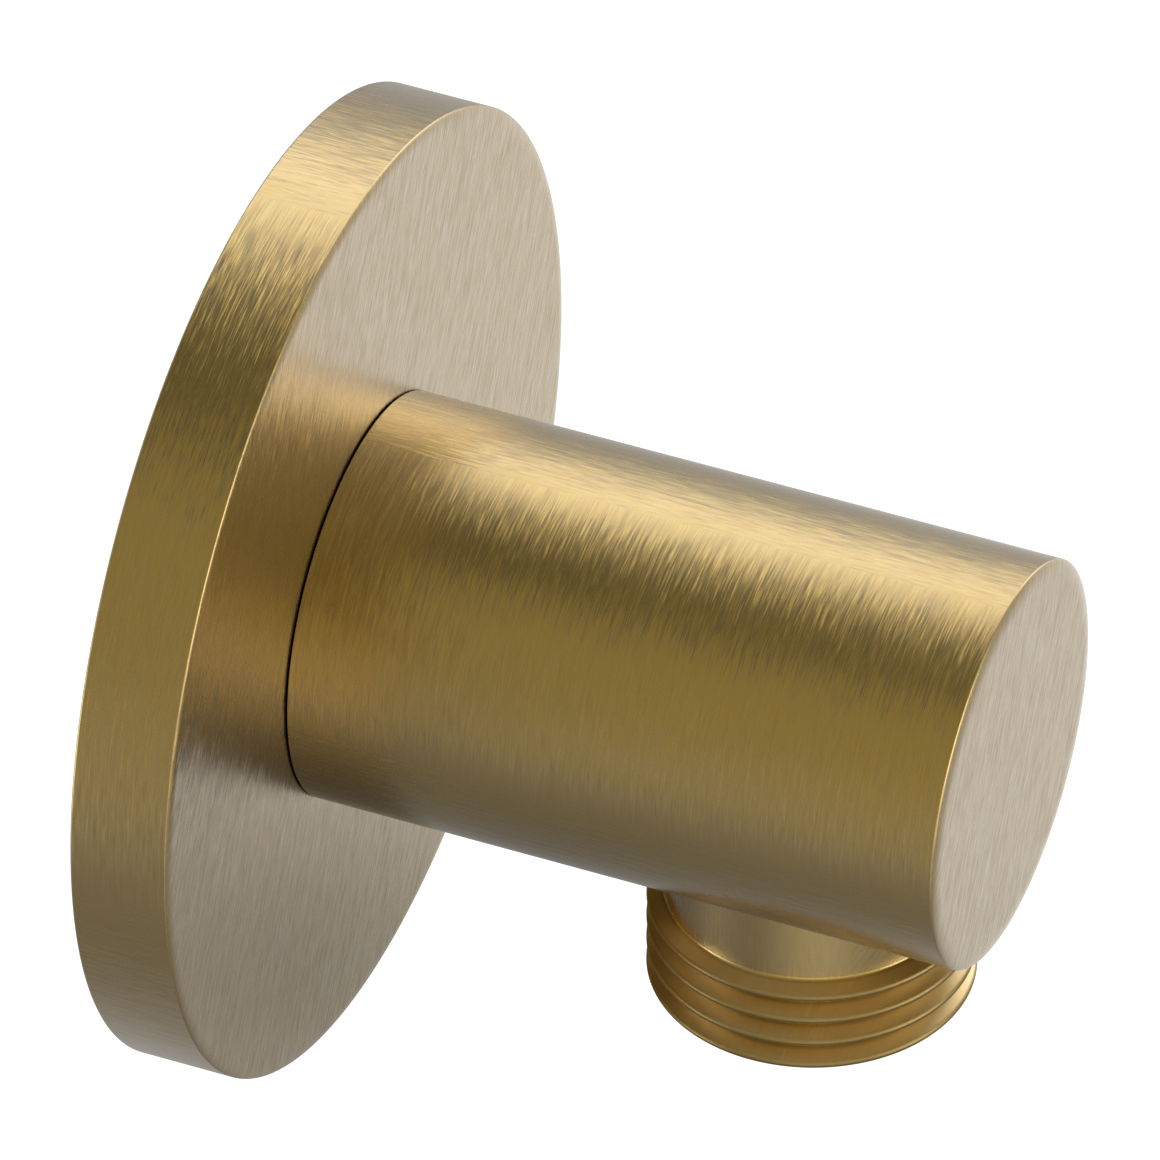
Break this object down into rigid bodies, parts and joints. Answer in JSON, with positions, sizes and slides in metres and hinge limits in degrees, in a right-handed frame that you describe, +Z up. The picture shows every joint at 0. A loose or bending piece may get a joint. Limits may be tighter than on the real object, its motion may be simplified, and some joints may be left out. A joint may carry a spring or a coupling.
{
  "type": "wall outlet elbow",
  "caption": "Wall outlet elbow for a shower hose: a round rosette, a round barrel standing out of the wall and a threaded nipple pointing down.",
  "frame": {"origin": "centre of the rosette's rim, on the plane of the wall", "axes": "+Y into the wall, with the barrel standing out along -Y; +Z up, with the threaded nipple pointing along -Z; X across"},
  "size_m": [0.063, 0.05, 0.063],
  "materials": {
    "brushed_brass": "brushed",
    "thread_brass": "turned",
    "black_rubber": "matte",
    "grey_rubber": "matte"
  },
  "bodies": {
    "root": {"elbow_body": "brushed_brass", "outlet_nipple": "thread_brass", "wall_flange": "brushed_brass", "grip_ring": "black_rubber", "wall_gasket": "grey_rubber"}
  },
  "joints": []
}
